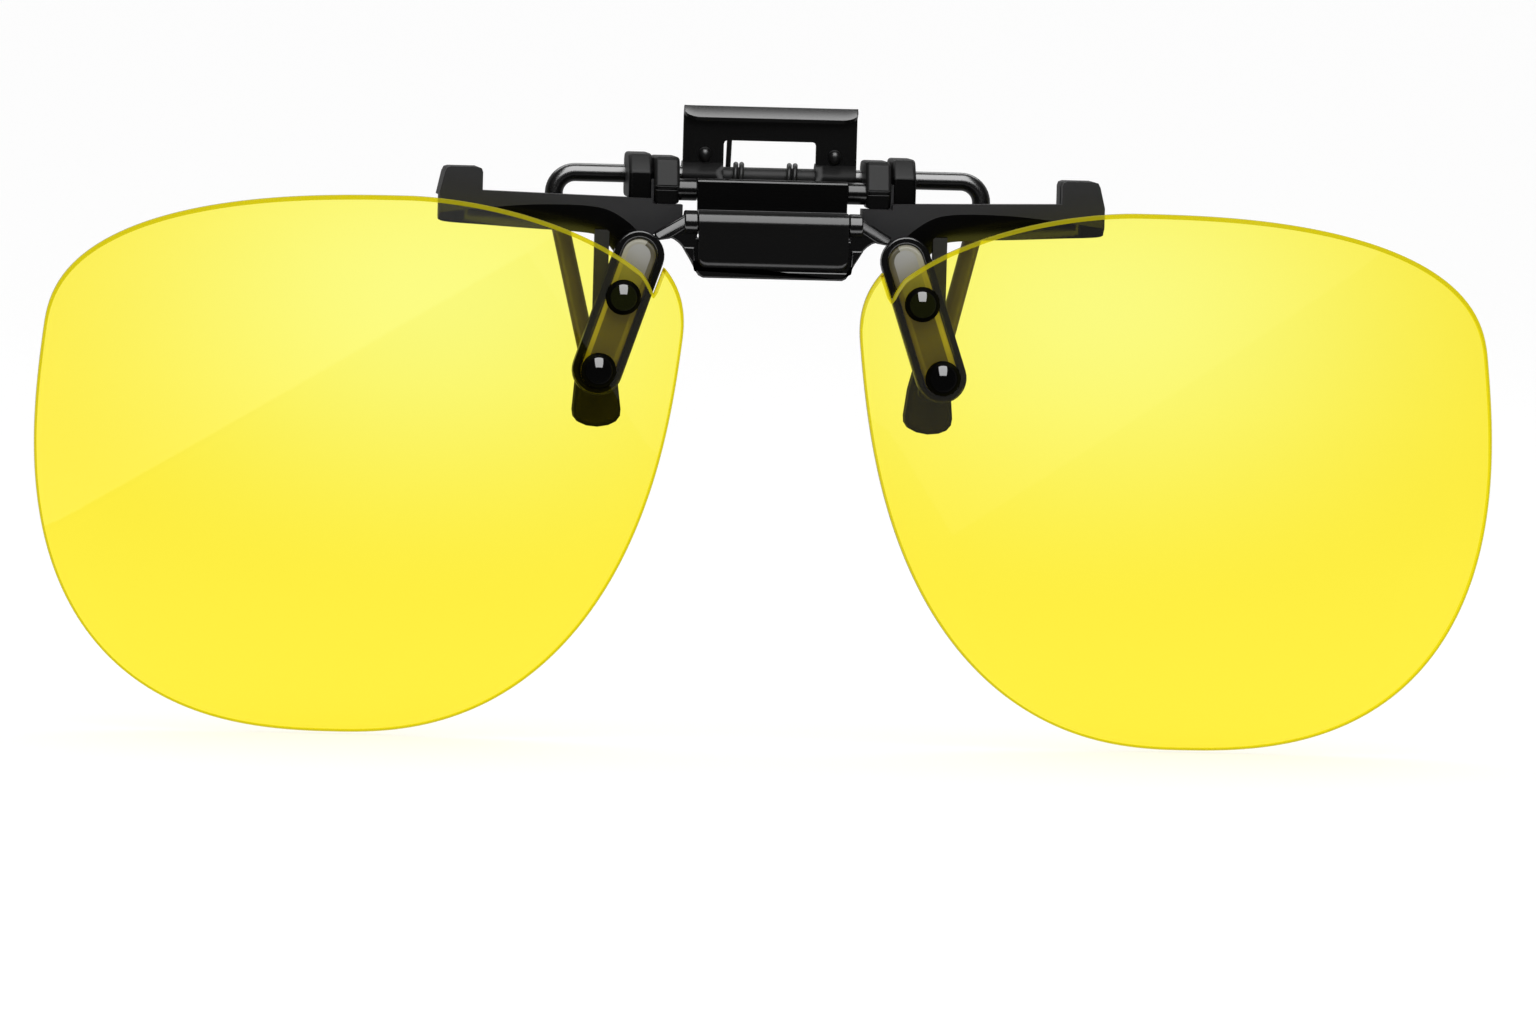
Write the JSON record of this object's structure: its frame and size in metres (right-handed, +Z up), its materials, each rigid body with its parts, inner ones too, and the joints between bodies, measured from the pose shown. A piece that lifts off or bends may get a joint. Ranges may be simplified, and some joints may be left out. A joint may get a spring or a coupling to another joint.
{
  "type": "clip on sunglasses",
  "caption": "Flip-up clip-on sunglasses: sprung wire clamp with thumb lever, hooked arms and a hinged bridge carrying rimless yellow lenses.",
  "frame": {"origin": "midway between the four grip tips, in the middle of the gap that holds the eyeglass lenses", "axes": "+X across the face, -Y out of the lenses' front, +Z up when worn"},
  "size_m": [0.1324, 0.0116, 0.0573],
  "materials": {
    "moulded_black": "satin moulded nylon, black",
    "block_black": "polished moulded nylon, black",
    "bridge_black": "gloss moulded nylon, black",
    "wire_black": "gloss black coated steel wire",
    "plate_black": "semi-gloss black coated sheet steel",
    "pin_steel": "gloss black coated steel pin",
    "spring_steel": "oiled dark spring steel",
    "grip_rubber": "matte soft rubber",
    "yellow_lens": "clear yellow polycarbonate, polished",
    "rivet_black": "polished black dome",
    "clear_washer": "clear nylon"
  },
  "bodies": {
    "front_clamp": {"left_hook_arm": "moulded_black", "right_hook_arm": "moulded_black", "left_front_pad": "grip_rubber", "right_front_pad": "grip_rubber", "left_hinge_block": "block_black", "right_hinge_block": "block_black", "core_shaft": "pin_steel"},
    "rear_clamp": {"leg_wire": "wire_black", "lever_plate": "plate_black", "return_spring": "spring_steel", "left_rear_foot": "grip_rubber", "right_rear_foot": "grip_rubber"},
    "flip_lenses": {"bridge": "bridge_black", "left_lens_arm": "bridge_black", "right_lens_arm": "bridge_black", "cover_sleeve": "plate_black", "cross_pin": "pin_steel", "detent_leaf": "spring_steel", "left_lens": "yellow_lens", "right_lens": "yellow_lens", "left_upper_rivet": "rivet_black", "left_lower_rivet": "rivet_black", "right_upper_rivet": "rivet_black", "right_lower_rivet": "rivet_black", "left_washers": "clear_washer", "right_washers": "clear_washer"}
  },
  "joints": [
    {"name": "clamp_opening", "type": "hinge", "parent": "front_clamp", "child": "rear_clamp", "pos_m": [0, 0.00275, 0.0207], "axis": [1, 0, 0], "range_deg": [0, 30], "stiffness_Nm_per_rad": 0.1, "springref_deg": -22.92},
    {"name": "lens_flip", "type": "hinge", "parent": "front_clamp", "child": "flip_lenses", "pos_m": [0, -0.0015, 0.0195], "axis": [-1, 0, 0], "range_deg": [0, 100]}
  ]
}
